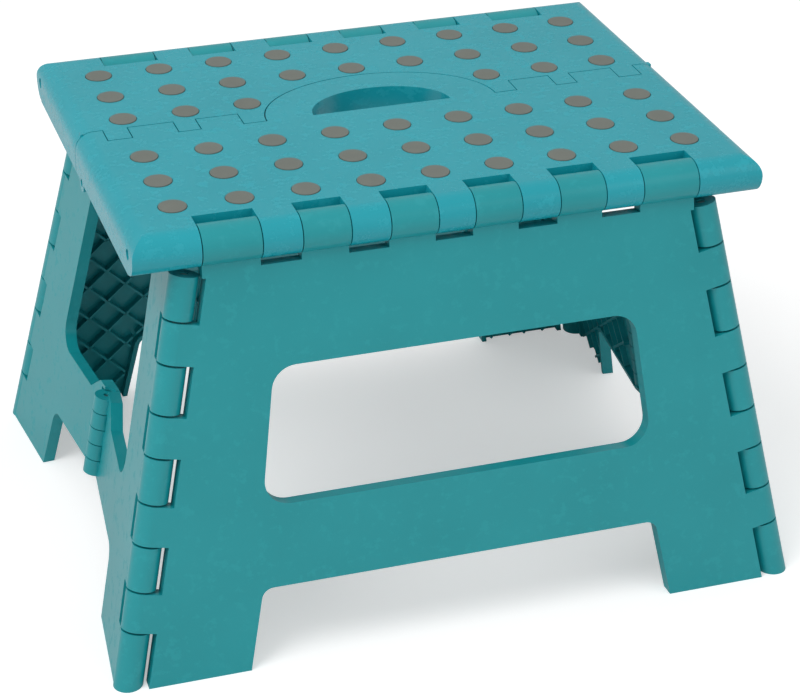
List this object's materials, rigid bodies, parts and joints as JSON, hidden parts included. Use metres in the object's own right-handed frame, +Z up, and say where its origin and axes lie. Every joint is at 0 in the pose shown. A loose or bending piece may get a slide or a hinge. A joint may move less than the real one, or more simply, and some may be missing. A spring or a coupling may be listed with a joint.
{
  "type": "folding step stool",
  "caption": "Low folding plastic step stool with hinged leg panels, jointed side panels, a two-part dotted tread that folds up along its centre and a hand slot.",
  "frame": {"origin": "centre of the footprint on the floor", "axes": "+X along the tread, -Y to the front, +Z up"},
  "size_m": [0.3448, 0.2738, 0.2184],
  "materials": {
    "stool_plastic": "satin moulded",
    "grip_dots": "matt",
    "hinge_pins": "drawn"
  },
  "bodies": {
    "leg_rear": {"rear_leg_panel": "stool_plastic", "rear_top_hinge_pin": "hinge_pins", "rear_left_corner_pin": "hinge_pins", "rear_right_corner_pin": "hinge_pins"},
    "top_rear": {"rear_tread_half": "stool_plastic", "left_centre_fold_pin": "hinge_pins", "right_centre_fold_pin": "hinge_pins", "rear_grip_row_1": "grip_dots", "rear_grip_row_2": "grip_dots", "rear_grip_row_3": "grip_dots"},
    "top_front": {"front_tread_half": "stool_plastic", "front_grip_row_1": "grip_dots", "front_grip_row_2": "grip_dots", "front_grip_row_3": "grip_dots"},
    "leg_front": {"front_leg_panel": "stool_plastic", "front_top_hinge_pin": "hinge_pins", "front_left_corner_pin": "hinge_pins", "front_right_corner_pin": "hinge_pins"},
    "side_front_left": {"front_left_side_half": "stool_plastic", "left_middle_hinge_pin": "hinge_pins"},
    "side_front_right": {"front_right_side_half": "stool_plastic", "right_middle_hinge_pin": "hinge_pins"},
    "side_rear_left": {"rear_left_side_half": "stool_plastic"},
    "side_rear_right": {"rear_right_side_half": "stool_plastic"}
  },
  "joints": [
    {"name": "rear_top_hinge", "type": "hinge", "parent": "leg_rear", "child": "top_rear", "pos_m": [0, 0.1, 0.2085], "axis": [-1, 0, 0], "range_deg": [0, 80.1]},
    {"name": "centre_fold", "type": "hinge", "parent": "top_rear", "child": "top_front", "pos_m": [0, 0, 0.198], "axis": [1, 0, 0], "range_deg": [0, 178]},
    {"name": "front_top_hinge", "type": "hinge", "parent": "top_front", "child": "leg_front", "pos_m": [0, -0.1, 0.2085], "axis": [-1, 0, 0], "range_deg": [0, 80.1]},
    {"name": "front_left_corner_hinge", "type": "hinge", "parent": "leg_front", "child": "side_front_left", "pos_m": [-0.16523, -0.12978, 0], "axis": [-0.2011, -0.1532, -0.9675], "range_deg": [0, 84.73]},
    {"name": "front_right_corner_hinge", "type": "hinge", "parent": "leg_front", "child": "side_front_right", "pos_m": [0.16523, -0.12978, 0], "axis": [-0.2011, 0.1532, 0.9675], "range_deg": [0, 84.73]},
    {"name": "rear_left_corner_hinge", "type": "hinge", "parent": "leg_rear", "child": "side_rear_left", "pos_m": [-0.16523, 0.12978, 0], "axis": [0.2011, -0.1532, 0.9675], "range_deg": [0, 84.73]},
    {"name": "rear_right_corner_hinge", "type": "hinge", "parent": "leg_rear", "child": "side_rear_right", "pos_m": [0.16523, 0.12978, 0], "axis": [0.2011, 0.1532, -0.9675], "range_deg": [0, 84.73]}
  ],
  "couplings": [
    {"joint": "rear_top_hinge", "follows": "centre_fold", "ratio": 0.45},
    {"joint": "front_top_hinge", "follows": "centre_fold", "ratio": 0.45},
    {"joint": "front_left_corner_hinge", "follows": "centre_fold", "ratio": 0.476},
    {"joint": "front_right_corner_hinge", "follows": "centre_fold", "ratio": 0.476},
    {"joint": "rear_left_corner_hinge", "follows": "centre_fold", "ratio": 0.476},
    {"joint": "rear_right_corner_hinge", "follows": "centre_fold", "ratio": 0.476}
  ]
}
